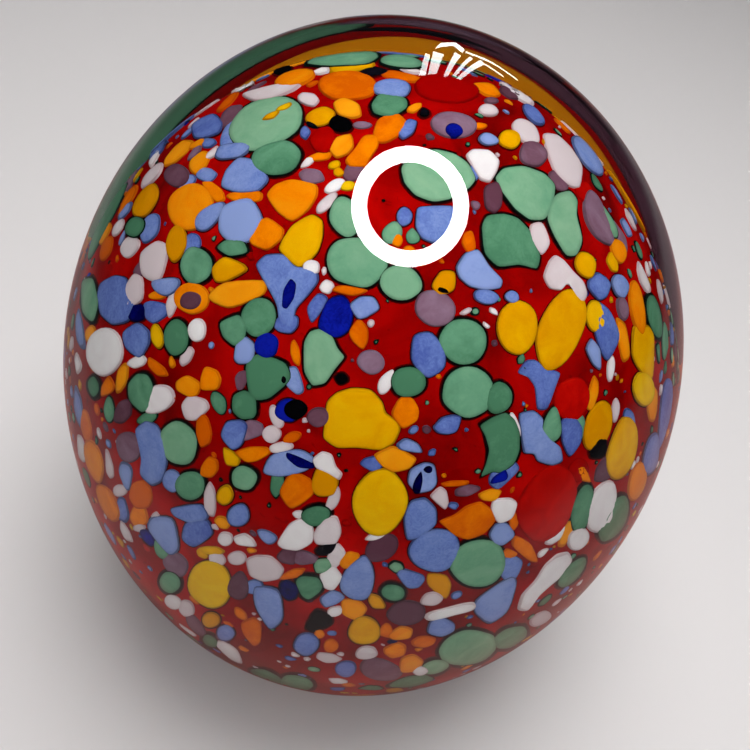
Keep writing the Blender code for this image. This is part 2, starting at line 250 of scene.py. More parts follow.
        (-20.6, -12.0, 2.5, 2.0, 70, "shard"),
        (-15.0, -10.3, 4.2, 1.8, 5, "shard"),
        (-9.4, -15.1, 4.2, 3.8, 60, "shard"),
        (-29.5, -15.5, 3.4, 2.8, 120, "shard"),
        (-35.5, -11.1, 5.4, 2.0, 105, "pebble"),
        (-33.7, -16.4, 4.9, 2.0, 115, "pebble"),
        (4.8, -4.9, 3.7, 3.2, 60, "shard"),
        ((0.4, -10.4), (3, -9.1), (4.7, -9.9), (6.3, -10.9), (5.3, -12.2), (3.2, -12.7),
         (1.7, -11.9)),
        (20.3, -22.6, 3.9, 1.9, -30, "shard"),
        (34.8, -13.8, 4.8, 2.0, 75, "pebble"),
        (4.1, -33.4, 3.0, 1.6, 10, "shard"),
        (3.4, -35.6, 2.8, 1.8, 10, "shard"),
        (5.5, -37.3, 2.9, 2.2, 0, "shard"),
        (7.1, -34.5, 3.0, 1.4, 10, "shard"),
        (-15.1, -33.2, 3.4, 2.4, 100, "shard"),
        (-4.9, -35.0, 1.8, 1.6, 0, "pebble"),
    ],
    "white": [
        ((22.5, 31.4), (24.4, 31.2), (26.2, 29.5), (27.8, 27), (27.4, 24.1), (25.9, 24.5),
         (24.1, 26.2), (23.1, 28.7)),
        (-34.2, 3.0, 5.8, 4.4, 90, "pebble"),
        ((19.2, -30.4), (20.6, -30.6), (22, -28.6), (23.6, -27.2), (25.6, -25.6), (26.4, -23.9),
         (25.9, -22.9), (24.4, -23.2), (22.8, -24.6), (21.6, -26.6), (19.8, -28.4)),
        (30.2, -17.0, 6.5, 3.4, 70, "pebble"),
        ((12.5, 28.5), (13.4, 29.3), (15.6, 29.2), (17, 27.8), (16.6, 26.3), (15.7, 24.9),
         (14.4, 25.3), (13.6, 26.6)),
        (-12.3, 36.7, 7.6, 1.6, 15, "shard"),
        (-7.9, 35.7, 2.6, 1.5, -10, "shard"),
        (-28.1, 25.8, 3.9, 1.2, 50, "pebble"),
        (-28.0, 14.8, 4.9, 3.2, 75, "shard"),
        (-30.5, 10.8, 4.3, 2.4, 85, "shard"),
        (-22.3, 5.8, 2.8, 2.1, 90, "pebble"),
        (-7.5, 13.9, 2.0, 1.8, 0, "pebble"),
        (20.4, 31.5, 3.9, 2.4, -35, "pebble"),
        (22.1, 17.7, 3.9, 2.2, -70, "shard"),
        ((22.6, 12.8), (23.4, 14.8), (24.2, 15.6), (25.3, 14.9), (26.5, 13.4), (27.9, 12.1),
         (28.4, 10.4), (27.7, 9.2), (27, 9.9), (26.3, 11.5), (25.6, 11.8), (24.9, 10.9),
         (23.4, 11.2)),
        (-27.4, -3.1, 4.2, 3.2, 30, "pebble"),
        (-22.5, -4.3, 3.3, 3.0, 0, "shard"),
        (-12.6, -7.7, 2.3, 2.1, 0, "pebble"),
        ((-7.4, -10.9), (-6.1, -9.9), (-4.8, -10.3), (-4.3, -11.9), (-3.4, -12.8),
         (-3.8, -13.7), (-5.4, -12.7), (-6.9, -12.1)),
        ((-12, -21.8), (-10.4, -19.3), (-8.8, -18.5), (-7.2, -19.5), (-7.2, -21.7),
         (-9.2, -22.8), (-11.2, -22.5)),
        (-5.2, -20.3, 4.0, 3.0, 60, "shard"),
        ((-16, -23.8), (-14.7, -23.3), (-12.6, -23.4), (-10.9, -25.1), (-11.5, -26.4),
         (-13.6, -26.8), (-15.5, -26)),
        (-18.6, -21.2, 1.8, 1.7, 0, "pebble"),
        (-16.0, -21.4, 2.9, 1.5, -20, "shard"),
        (17.5, -17.3, 3.3, 3.0, 40, "shard"),
        (27.1, -21.2, 3.0, 2.4, 60, "pebble"),
        (10.6, -30.6, 6.4, 1.8, 15, "bone"),
        (8.1, -29.0, 2.8, 1.6, 10, "pebble"),
        (-0.3, -35.9, 2.7, 1.6, 0, "pebble"),
        (6.7, -38.2, 2.0, 1.2, 0, "pebble"),
        (22.2, -31.5, 2.8, 1.4, 30, "pebble"),
        (-25.3, -29.3, 2.2, 1.6, -30, "pebble"),
        (-23.6, -30.1, 2.2, 1.8, -60, "pebble"),
        (-18.1, -35.6, 4.2, 1.4, -35, "shard"),
        (15.5, 34.3, 2.4, 1.4, -10, "pebble"),
    ],
    "red": [
        (23.1, -16.6, 9.6, 6.4, 65, "pebble"),
        (10.1, 37.0, 7.8, 3.1, -5, "pebble"),
        (26.3, -3.1, 5.3, 4.2, 80, "pebble"),
        (-5.9, 30.4, 3.4, 3.2, 0, "shard"),
    ],
    "mauve": [
        (8.6, 8.6, 4.9, 4.4, 0, "pebble"),
        (29.8, 20.3, 7.2, 2.6, -68, "bean"),
        (-24.9, 25.8, 3.1, 2.8, 0, "pebble"),
        (21.3, 28.6, 3.4, 3.0, -30, "pebble"),
        (11.0, 32.4, 5.6, 3.1, -5, "pebble"),
        (16.1, 23.1, 3.9, 2.4, 80, "shard"),
        (-6.6, -5.5, 2.8, 2.4, 0, "pebble"),
        (-31.0, -9.3, 3.7, 3.0, 100, "pebble"),
        (4.8, -30.8, 4.7, 3.0, 5, "pebble"),
        (32.9, 8.6, 3.0, 1.3, 100, "pebble"),
        (1.6, -38.1, 5.2, 2.6, -10, "pebble"),
        (-16.9, -27.2, 3.4, 2.6, 80, "drop"),
        (-22.4, -32.3, 3.4, 1.4, -50, "pebble"),
    ],
    "cobalt": [
        (-4.3, 7.4, 4.9, 4.4, 40, "shard"),
        (-10.6, -4.6, 2.8, 3.0, 90, "pebble"),
        (-10.3, -27.8, 2.4, 2.4, 0, "shard"),
        (-28.6, -20.9, 2.4, 1.2, 125, "pebble"),
        (-30.3, 8.0, 2.4, 2.1, 0, "shard"),
    ],
    "black": [
        (-3.7, 32.5, 2.8, 1.8, -10, "pebble"),
        (29.8, -9.4, 2.8, 1.8, 70, "shard"),
        (-6.6, -31.7, 3.3, 2.2, 20, "shard"),
        (-5.5, -22.5, 2.6, 1.3, 20, "shard"),
        (-3.6, -0.5, 1.2, 1.5, 80, "shard"),
        (7.2, 34.0, 1.2, 0.9, 0, "shard"),
        (0.6, 39.3, 3.4, 0.9, 5, "shard"),
        (-11.2, 39.4, 2.2, 0.8, 20, "shard"),
    ],
}

# Chips that show between the ones above and pass under them, in the same form.
UNDER_CHIPS = {
    "green": [
        (-28.7, -5.6, 2.8, 1.6, 20, "pebble"),
        (-33.6, -4.4, 3.4, 1.4, 90, "pebble"),
        (27.3, -6.6, 4.0, 1.4, 85, "shard"),
        (-11.9, -14.2, 3.6, 1.8, 80, "shard"),
        (-26.8, -22.4, 2.8, 1.8, 110, "pebble"),
        (-5.9, -24.6, 2.6, 2.0, 20, "shard"),
        (5.3, -39.6, 6.0, 1.4, 8, "shard"),
        (3.0, 18.4, 3.0, 2.4, 60, "pebble"),
    ],
    "blue": [
        (-28.4, 19.0, 3.9, 2.2, 65, "pebble"),
        (-31.6, 21.2, 2.8, 0.9, 60, "shard"),
        (-21.1, 25.9, 2.6, 1.8, 0, "shard"),
        (-23.6, 25.0, 2.4, 1.4, 40, "pebble"),
        (-23.0, 16.8, 3.0, 2.2, 80, "pebble"),
        (-27.4, 29.2, 3.4, 1.0, 50, "shard"),
        (-20.8, 30.1, 1.8, 1.3, 30, "shard"),
        (-17.7, 31.2, 4.4, 2.4, 60, "pebble"),
        (-8.3, 31.4, 1.7, 1.3, 90, "shard"),
        (-27.7, 8.4, 3.0, 2.8, 30, "shard"),
        (-6.9, 8.8, 3.6, 1.9, 50, "shard"),
        (-9.8, -0.8, 3.6, 2.0, 110, "shard"),
        ((19.2, 0.2), (20.4, 1.9), (21.6, 2.0), (23.0, 0.9), (25.0, 0.3), (24.4, -1.2),
         (23.2, -4.6), (21.8, -4.6), (21.6, -1.6), (20.6, -0.2)),
        (-25.5, -13.7, 2.4, 2.8, 0, "pebble"),
        (-31.4, -13.0, 3.6, 1.6, 100, "shard"),
        (-31.9, -17.4, 3.2, 1.4, 100, "shard"),
        (-14.9, -27.4, 2.4, 1.8, 0, "pebble"),
        (0.3, -11.6, 2.8, 2.0, 0, "shard"),
        (5.2, -26.4, 3.6, 2.2, -25, "shard"),
        (17.3, -12.7, 4.2, 2.6, 40, "shard"),
        (10.9, -17.0, 1.4, 0.9, 0, "shard"),
        (18.3, -25.0, 3.2, 2.6, 60, "shard"),
        (-4.8, -28.9, 3.0, 1.8, 20, "shard"),
        (-3.0, -38.0, 2.6, 2.0, 0, "pebble"),
        (33.8, -6.0, 3.2, 1.4, 95, "pebble"),
        (-37.4, 6.0, 5.0, 1.0, 95, "shard"),
        (-37.6, -4.0, 5.2, 1.0, 98, "shard"),
        (13.4, 26.0, 2.6, 1.8, 60, "shard"),
    ],
    "yellow": [
        (-2.3, 39.9, 5.8, 1.2, 8, "shard"),
        (23.7, 30.4, 2.2, 1.4, 0, "pebble"),
        (-3.9, 26.3, 1.2, 1.4, 90, "shard"),
        (-2.8, 24.5, 2.0, 1.2, 10, "pebble"),
        (-18.0, -10.7, 2.8, 1.8, -50, "shard"),
        (-20.4, -22.7, 3.2, 1.1, -10, "shard"),
        (-21.6, -23.1, 1.6, 1.0, -40, "shard"),
        (9.2, -27.0, 3.6, 2.4, -40, "shard"),
        (31.6, 14.6, 2.6, 1.2, -70, "shard"),
    ],
    "orange": [
        (-34.0, 16.4, 3.2, 1.3, 70, "pebble"),
        (-34.2, 18.4, 3.0, 0.9, 65, "shard"),
        (-31.3, 22.6, 4.5, 1.0, 60, "shard"),
        (-24.8, 28.8, 4.6, 1.5, 45, "shard"),
        (-22.2, 29.9, 2.4, 0.8, 30, "shard"),
        (-22.0, 27.6, 3.2, 1.9, 50, "pebble"),
        (-20.2, 23.8, 3.4, 1.6, -40, "shard"),
        (-16.2, 23.1, 4.4, 1.6, 0, "shard"),
        (-18.3, 35.4, 3.6, 0.8, 45, "shard"),
        (4.2, 38.7, 5.4, 1.2, -8, "shard"),
        (5.9, 34.6, 2.0, 1.0, 20, "shard"),
        (-6.4, 28.3, 3.0, 1.1, 12, "shard"),
        (15.3, 37.1, 3.6, 1.6, -20, "shard"),
        (14.4, 32.3, 1.8, 0.8, 0, "pebble"),
        (-27.4, 10.3, 2.2, 1.0, 0, "shard"),
        (-27.5, 0.9, 3.2, 1.3, -45, "shard"),
        (-36.1, 5.4, 2.2, 1.2, 70, "pebble"),
        (-32.0, -0.4, 3.8, 1.4, 75, "shard"),
        (-33.8, -1.6, 2.6, 1.5, 60, "shard"),
        (-2.6, 10.9, 4.4, 1.2, -5, "shard"),
        (-9.6, 2.8, 3.2, 1.1, 100, "shard"),
        (13.0, 17.2, 2.8, 1.8, 80, "shard"),
        (3.6, 17.6, 2.0, 1.4, 100, "shard"),
        (29.1, -2.4, 4.2, 1.2, 75, "shard"),
        (-10.0, -8.1, 2.4, 1.3, 20, "pebble"),
        (-19.0, -19.1, 2.0, 1.6, 0, "shard"),
        (-29.8, -18.2, 2.8, 2.2, 100, "shard"),
        (-15.2, -22.7, 1.2, 0.7, 0, "shard"),
        (-10.0, -25.8, 3.4, 1.1, 15, "shard"),
        (-2.5, -24.0, 2.6, 2.0, 40, "shard"),
        (15.7, -15.6, 2.8, 1.5, 0, "shard"),
        (11.2, -14.1, 3.4, 0.7, 5, "shard"),
        (18.8, -18.9, 2.4, 1.2, 95, "shard"),
        (18.3, -23.2, 1.8, 1.2, 0, "shard"),
        ((26.6, -11.6), (27.9, -11.1), (28.4, -12.6), (28.9, -14.0), (27.7, -13.8),
         (26.8, -12.7)),
        (25.6, -20.6, 3.6, 1.3, 65, "shard"),
        (-2.0, -30.4, 3.2, 2.4, -10, "shard"),
        (2.2, -33.1, 2.0, 1.8, 0, "shard"),
        (-6.4, -33.5, 1.3, 1.1, 0, "shard"),
        (33.0, 4.6, 5.4, 1.3, 100, "shard"),
        (36.8, -3.6, 4.6, 1.3, 90, "shard"),
        (-36.6, -6.6, 4.2, 1.2, 100, "pebble"),
    ],
    "white": [
        (-6.3, 39.4, 2.4, 0.8, 10, "shard"),
        (5.6, 39.4, 3.4, 0.6, -10, "shard"),
        (-31.0, 16.6, 2.8, 2.0, 60, "pebble"),
        (-32.5, 19.1, 2.4, 1.0, 60, "pebble"),
        (-20.4, 28.6, 2.4, 0.9, 40, "shard"),
        (-16.5, 37.6, 3.2, 1.0, 40, "shard"),
        (-27.8, 28.2, 2.6, 0.7, 60, "shard"),
        (-8.0, 27.6, 2.2, 0.9, 35, "shard"),
        (-4.5, 24.5, 2.8, 1.4, 30, "pebble"),
        (-5.5, 22.3, 3.4, 1.4, 45, "pebble"),
        (19.2, 36.6, 5.0, 1.1, -35, "shard"),
        (-30.1, 1.7, 2.4, 1.4, 20, "shard"),
        (-25.6, 9.2, 3.4, 1.3, 75, "shard"),
        (-23.7, 2.4, 2.6, 1.4, 65, "shard"),
        (-5.5, 11.4, 1.7, 1.6, 60, "shard"),
        (2.2, -0.9, 3.3, 1.6, 60, "drop"),
        (12.6, 8.2, 1.6, 0.7, 20, "shard"),
        (16.2, 8.2, 1.3, 0.7, -40, "shard"),
        (15.2, 6.4, 1.0, 0.5, -40, "shard"),
        (-20.6, -16.1, 4.2, 1.5, 88, "shard"),
        (-32.2, -14.9, 1.7, 1.5, 0, "pebble"),
        (-33.6, -11.4, 3.6, 0.9, 95, "shard"),
        (-31.5, -20.2, 3.0, 0.9, 115, "shard"),
        (-29.7, -19.7, 1.5, 1.1, 0, "pebble"),
        (-27.4, -19.4, 3.2, 1.6, 110, "shard"),
        (-19.7, -23.8, 2.2, 1.6, -30, "pebble"),
        (-17.1, -23.7, 2.3, 1.7, 0, "pebble"),
        (-11.4, -9.4, 3.0, 1.3, 10, "pebble"),
        (-12.0, -5.4, 3.0, 1.6, 110, "pebble"),
        (-4.7, -16.0, 3.4, 1.4, 70, "bean"),
        (-9.2, -18.1, 1.4, 1.0, 0, "shard"),
        (-4.3, -23.5, 3.0, 1.9, 60, "shard"),
        (0.9, -20.9, 2.8, 1.0, 15, "shard"),
        ((7.8, -15.7), (9.2, -14.4), (10.1, -15.0), (10.4, -16.7), (9.9, -17.6), (8.6, -16.5)),
        (18.9, -6.6, 3.2, 1.2, -70, "shard"),
        (24.3, -20.8, 3.4, 1.3, 40, "shard"),
        (-5.0, -26.2, 3.0, 2.6, 60, "shard"),
        (-4.4, -30.6, 1.9, 1.3, 0, "shard"),
        (-3.7, -36.1, 0.9, 0.5, 0, "shard"),
        (-8.0, -36.7, 0.9, 0.5, 0, "shard"),
        (32.0, -4.6, 3.0, 1.0, 85, "pebble"),
        (31.4, 0.8, 3.2, 0.9, 85, "pebble"),
        (-37.2, -9.4, 3.4, 0.9, 100, "shard"),
        (-37.6, 1.6, 2.6, 0.8, 92, "shard"),
        (35.6, 12.6, 4.2, 1.0, -70, "shard"),
    ],
    "mauve": [
        (-18.1, 33.5, 4.0, 1.8, 50, "shard"),
        (-22.6, 28.8, 2.6, 0.8, 50, "shard"),
        (-31.0, 25.2, 3.4, 0.9, 60, "shard"),
        (-0.9, 32.4, 2.4, 0.9, 0, "pebble"),
        (-2.1, 26.4, 2.8, 2.2, 40, "pebble"),
        (-7.5, 25.8, 3.0, 2.0, 10, "shard"),
        (24.6, 25.2, 3.0, 2.0, -50, "pebble"),
        (18.4, 36.7, 2.8, 1.5, -25, "shard"),
        (15.9, 35.6, 1.8, 0.8, 0, "pebble"),
        (-31.8, -4.7, 3.2, 2.0, 70, "shard"),
        (0.2, 1.6, 3.4, 3.0, 0, "pebble"),
        (-15.3, -7.1, 3.0, 2.4, 30, "shard"),
        (-25.0, -24.4, 3.4, 2.6, 130, "pebble"),
        (-8.2, -23.7, 3.2, 1.8, -5, "shard"),
        (-10.6, -23.4, 2.2, 2.6, 90, "shard"),
        (1.6, -22.4, 4.4, 3.2, 30, "pebble"),
        (12.8, -15.0, 3.2, 1.4, 10, "shard"),
        (32.4, 18.0, 4.6, 1.4, -62, "shard"),
        (-16.6, -0.6, 2.6, 1.6, 60, "shard"),
        (-29.4, 14.0, 2.6, 1.4, 60, "shard"),
        (-18.9, -34.0, 2.0, 1.0, -30, "pebble"),
        (30.6, -12.4, 3.4, 2.0, 60, "shard"),
    ],
    "red": [(28.0, 23.8, 2.8, 2.0, -50, "shard"), (27.2, -12.4, 3.0, 2.4, 60, "pebble")],
}

# Marks that lie on the chips above, in the same form. The two yellow ones are a painted highlight.
OVER_CHIPS = {
    "cobalt": [
        ((-11.3, 8.7), (-11.1, 11.0), (-10.1, 12.6), (-9.3, 11.8), (-9.6, 9.9), (-10.6, 8.4)),
        (-13.3, 3.8, 2.8, 3.0, 0, "pebble"),
        (11.0, 31.6, 2.2, 1.7, -20, "pebble"),
        (6.3, -13.9, 2.8, 1.1, 80, "shard"),
        (7.6, -12.2, 1.1, 0.9, 0, "pebble"),
        (-9.0, -11.2, 3.8, 1.3, -30, "shard"),
        (16.9, -13.4, 2.4, 1.2, 40, "shard"),
    ],
    "black": [
        (-9.5, -4.5, 2.4, 2.8, 90, "pebble"),
        (9.6, 10.9, 1.4, 0.6, -20, "shard"),
        (-7.4, 32.3, 1.4, 0.5, -20, "shard"),
        (-11.0, -0.6, 0.9, 0.6, 90, "pebble"),
    ],
    # Painted highlight: two pale yellow slivers on the first green chip, where light focused
    # through the casing falls on it.
    "yellow": [(-11.0, 34.5, 2.2, 0.7, 25, "shard"), (-12.6, 33.4, 2.4, 0.8, 25, "shard")],
    "mauve": [(-23.0, 9.6, 2.6, 2.2, 0, "pebble")],
}

# Chips on the far side: azimuth in degrees and height in mm on the core, then length,
# width, turn and form. They are the CAD's last chips of each colour.
BACK_CHIPS = {
    "green": [
        (60, 44, 8.0, 6.0, 20, "pebble"),
        (118, 30, 7.0, 6.0, 70, "pebble"),
        (158, 47, 7.5, 5.5, 120, "pebble"),
        (78.5, 19.0, 5.6, 5.0, 20, "shard"),
    ],
    "blue": [
        (52, 24, 7.0, 5.5, 60, "shard"),
        (138, 52, 6.5, 5.0, 10, "pebble"),
        (96, 57, 7.0, 4.5, 150, "shard"),
        (10, 43, 7.0, 5.0, 80, "bean"),
    ],
    "yellow": [
        (98, 41, 9.0, 6.5, 15, "pebble"),
        (42, 56, 6.0, 4.5, 60, "pebble"),
    ],
    "orange": [
        (142, 36, 7.0, 5.0, 100, "shard"),
        (91.5, 22.6, 4.6, 3.4, 0, "pebble"),
    ],
    "white": [
        (78, 48, 6.0, 4.0, 40, "pebble"),
        (128, 16, 6.0, 4.0, 170, "drop"),
    ],
    "red": [(40, 35, 8.0, 5.5, 130, "pebble")],
    "mauve": [(101.5, 18.6, 5.2, 4.2, 150, "bean")],
}
# More chips on the far side, in the same form, low down where the casing's top margin mirrors the
# core. They are partly painted shade: the black ones stand in for the shade on that side, and the
# mauve ones give its purple-brown, partly colour and partly painted shade.
BACK_DETAILS_AND_SHADE = {
    "mauve": [
        (89.6, 17.4, 4.6, 2.6, 0, "shard"),
        (94.6, 16.6, 3.6, 1.8, 0, "shard"),
        (95.0, 19.4, 3.4, 2.6, 0, "shard"),
    ],
    "black": [(90.6, 19.7, 3.4, 0.9, 0, "shard"), (97.6, 17.6, 3.0, 0.8, 40, "shard")],
}
CAD_FRONT = {
    "green": 14, "blue": 8, "yellow": 5, "orange": 4,
    "white": 5, "red": 2, "mauve": 2, "cobalt": 1,
}

# Chips that fill the rest of the core: (least and most length in mm, how many to try).
FAR_SIZES = ((4.5, 7.0, 220), (3.0, 4.5, 800), (2.0, 3.0, 2000), (1.0, 2.0, 3600))
NEAR_SIZES = ((1.3, 2.6, 900), (0.7, 1.3, 1500), (0.35, 0.7, 1200))
# Places on the face drawing, in mm, where the red layer shows bare: right, up, reach.
OPEN_GROUND = (
    (3.0, 6.0, 3.5), (19.5, 12.0, 2.5), (12.0, -9.5, 3.0), (2.0, 23.0, 3.0),
    (20.0, -2.0, 2.0), (-1.5, -12.0, 2.0), (-12.0, -17.0, 2.5),
)
FILL_COLOURS = (
    ("green", 26), ("blue", 24), ("yellow", 9), ("orange", 14),
    ("white", 15), ("mauve", 7), ("cobalt", 3), ("red", 2),
)

# How far the dark line, where a colour has darkened the red around it, reaches in mm.
SEAMS = {"green": 0.38, "blue": 0.2, "yellow": 0.2, "cobalt": 0.25, "black": 0.35}

STREAKS = {"blue": 0.34, "white": 0.06, "cobalt": 0.3}  # how strongly fine streaks show

# Each glass: its shades from dark to light, its rim's colour and the rim's strength.
SHADES = {
    "green": (((78, 132, 100), (108, 164, 130), (140, 186, 150)), (6, 20, 14), 1.0),
    "blue": (((84, 104, 182), (114, 138, 206), (144, 164, 220)), (14, 16, 60), 0.7),
    "yellow": (((228, 148, 0), (242, 174, 0), (250, 200, 14)), (110, 50, 0), 0.6),
    "orange": (((224, 98, 0), (252, 136, 0), (255, 166, 20)), (140, 10, 0), 0.5),
    "white": (((224, 208, 212), (244, 236, 238), (255, 252, 252)), (150, 90, 96), 0.5),
    "red": (((160, 0, 0), (196, 8, 2), (222, 34, 16)), (80, 0, 0), 0.4),
    "mauve": (((100, 60, 76), (120, 82, 100), (148, 118, 140)), (50, 8, 16), 0.5),
    "cobalt": (((0, 0, 30), (2, 4, 90), (14, 28, 160)), (0, 0, 8), 0.5),
    "black": (((2, 2, 4), (6, 6, 10), (20, 18, 30)), (0, 0, 0), 0.2),
}


def linear(colour):
    """A screen colour, 0 to 255, as linear light."""
    shares = [c / 255 for c in colour]
    return [s / 12.92 if s <= 0.04045 else ((s + 0.055) / 1.055) ** 2.4 for s in shares]


# Eggs: (radius, height of the widest circle, half height above it, half height below it)


def egg_of(node, widest_share, below_share):
    low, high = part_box(node)
    widest = high.z * widest_share
    return (high.x - low.x) / 2, widest, high.z - widest, widest * below_share


def grown(egg, by):
    radius, widest, above, below = egg
    return radius + by, widest, above + by, below + by


def egg_hits(egg, starts, directions):
    """Where each line first meets the egg, as rows; a row of nan where it misses."""
    radius, widest, above, below = egg
    found = np.full(starts.shape, np.nan)
    for half, is_top in ((above, True), (below, False)):
        squash = np.array([1 / radius, 1 / radius, 1 / half])
        p = (starts - np.array([0, 0, widest])) * squash
        d = directions * squash
        a = (d * d).sum(1)
        b = (p * d).sum(1)
        inside = b * b - a * ((p * p).sum(1) - 1)
        along = (-b - np.sqrt(np.maximum(inside, 0))) / a
        hits = starts + directions * along[:, None]
        good = (inside >= 0) & ((hits[:, 2] >= widest) == is_top)
        found[good] = hits[good]
    return found


def egg_normals(egg, points):
    radius, widest, above, below = egg
    half = np.where(points[:, 2] > widest, above, below)
    normals = points / radius**2
    normals[:, 2] = (points[:, 2] - widest) / half**2
    return normals / np.linalg.norm(normals, axis=1)[:, None]


def bent(directions, normals):
    """The directions of rays after they enter the glass."""
    cosine = -(directions * normals).sum(1)
    ratio = 1 / GLASS_IOR
    inner = np.sqrt(1 - ratio**2 * (1 - cosine**2))
    turned = directions * ratio + normals * (ratio * cosine - inner)[:, None]
    return turned / np.linalg.norm(turned, axis=1)[:, None]


def eye_axes():
    forward = np.array([0, math.cos(VIEW_ELEVATION), -math.sin(VIEW_ELEVATION)])
    level = np.array([1.0, 0.0, 0.0])
    upright = np.cross(level, forward)
    right = level * math.cos(VIEW_TURN) + upright * math.sin(VIEW_TURN)
    up = upright * math.cos(VIEW_TURN) - level * math.sin(VIEW_TURN)
    return right, up, forward


def sight_lines(places):
    right, up, _ = eye_axes()
    aims = view_centre + np.outer(places[:, 0], right) + np.outer(places[:, 1], up)
    lines = aims - eye
    return lines / np.linalg.norm(lines, axis=1)[:, None]


def seen_spots(places):
    """The points of the core that show at these places of the face drawing.
    A place past the core's edge is pulled in until it meets the core."""
    places = places.copy()
    spots = np.full((len(places), 3), np.nan)
    missing = np.arange(len(places))
    while len(missing):
        lines = sight_lines(places[missing])
        starts = np.tile(eye, (len(missing), 1))
        surface = egg_hits(casing_egg, starts, lines)
        inward = bent(lines, egg_normals(casing_egg, surface))
        spots[missing] = egg_hits(core_egg, surface, inward)
        missing = missing[~(spots[missing, 2] > LOWEST_CHIP)]
        places[missing] *= 0.985
    return spots


def spots_beside(middle):
    """A function from offsets in mm, across and up the core, to points near middle."""
    normal = egg_normals(core_egg, middle[None])[0]
    across = np.cross([0.0, 0.0, 1.0], normal)
    across /= np.linalg.norm(across)
    upward = np.cross(normal, across)

    def spots(offsets):
        starts = middle + np.outer(offsets[:, 0], across) + np.outer(offsets[:, 1], upward)
        starts += normal * LAYING_HEIGHT
        return egg_hits(core_egg, starts, np.tile(-normal, (len(starts), 1)))

    return spots


def turned_spot(azimuth, height):
    radius, widest, above, below = core_egg
    half = above if height > widest else below
    reach = radius * math.sqrt(1 - ((height - widest) / half) ** 2)
    return np.array([reach * math.cos(azimuth), reach * math.sin(azimuth), height])


# Meshes


def mesh_object(name, points, faces, marks=None):
    """A smooth object; marks are numbers that each point carries for its material."""
    mesh = bpy.data.meshes.new(name)
    mesh.from_pydata([tuple(p) for p in points], [], faces)
    mesh.validate()
    mesh.shade_smooth()
    for mark, values in (marks or {}).items():
        mesh.attributes.new(mark, "FLOAT", "POINT").data.foreach_set("value", values)
    obj = bpy.data.objects.new(name, mesh)
    bpy.context.scene.collection.objects.link(obj)
    return obj


def egg_profile(egg, rings, base):
    radius, widest, above, below = egg
    angles = [math.pi / 2 * (1 - i / rings) for i in range(rings)]
    points = [(radius * math.cos(a), widest + above * math.sin(a)) for a in angles]
    cut = math.asin((widest - base) / below)
    angles = [cut * i / rings for i in range(rings + 1)]
    return points + [(radius * math.cos(a), widest - below * math.sin(a)) for a in angles]


def turned_piece(name, profile, sides):
    """The closed surface of a profile turned about Z. Its first and last points are on the axis."""
    points = [(0.0, 0.0, profile[0][1])]
    for reach, height in profile[1:-1]:
        for i in range(sides):
            angle = 2 * math.pi * i / sides
            points.append((reach * math.cos(angle), reach * math.sin(angle), height))
    points.append((0.0, 0.0, profile[-1][1]))
    last = len(points) - 1
    faces = []
    for i in range(sides):
        j = (i + 1) % sides
        faces.append((0, 1 + i, 1 + j))
        for ring in range(len(profile) - 3):
            a, b = 1 + ring * sides, 1 + (ring + 1) * sides
            faces.append((a + i, b + i, b + j, a + j))
        a = 1 + (len(profile) - 3) * sides
        faces.append((a + i, last, a + j))
    return mesh_object(name, points, faces)


def rounded(corners, times, share):
    """A closed outline with its corners cut again and again."""
    for _ in range(times):
        after = np.roll(corners, -1, axis=0)
        first = corners * (1 - share) + after * share
        second = corners * share + after * (1 - share)
        corners = np.stack([first, second], axis=1).reshape(-1, 2)
        share = 0.25
    return corners


def drawn_chip(row, chance, smooth):
    """A chip's middle on the face drawing and its outline about the middle, in mm."""
    if len(row) == 6 and isinstance(row[-1], str):
        return np.array(row[:2]), outline_of(row[2:], chance, smooth) * CHIP_SPREAD
    corners = np.array(row)
    x, y = corners.T
    after_x, after_y = np.roll(x, -1), np.roll(y, -1)
    cross = x * after_y - after_x * y
    middle = ((corners + np.roll(corners, -1, axis=0)) * cross[:, None]).sum(0) / cross.sum() / 3
    outline = rounded(corners - middle, smooth, 0.16) * 1.02
    return middle, outline if cross.sum() > 0 else outline[::-1]


def outline_of(size, chance, smooth):
    """The closed outline, in mm, of a length, a width, a turn and a form."""
    length, width, turn, form = size
    turn = math.radians(turn)
    spin = np.array([[math.cos(turn), math.sin(turn)], [-math.sin(turn), math.cos(turn)]])
    return form_outline(form, chance, smooth) * np.array([length, width]) / 2 @ spin


def form_outline(form, chance, smooth):
    """A closed outline in a box from -1 to 1, about 12 to 48 points."""
    sides = chance.choice((5, 6, 6, 7) if form == "shard" else (7, 8, 9))
    jitter = 0.2 if form == "shard" else 0.09
    angles = (np.arange(sides) + [chance.uniform(-1, 1) * jitter * 1.5 for _ in range(sides)])
    angles = angles * 2 * math.pi / sides + chance.uniform(0, 6)
    reach = np.array([1 + chance.uniform(-1, 1) * jitter for _ in range(sides)])
    corners = np.stack([reach * np.cos(angles), reach * np.sin(angles)], axis=1)
    points = rounded(corners, smooth, 0.18 if form == "shard" else 0.25)
    points -= (points.max(0) + points.min(0)) / 2
    points /= (points.max(0) - points.min(0)) / 2
    along = points[:, 0]
    if form == "drop":
        points[:, 1] *= 1 - 0.35 * along
    if form == "bean":
        points[:, 1] += 0.4 * (along * along - 0.5)
    if form == "bone":
        points[:, 1] *= 0.6 + 0.4 * along * along
    return points


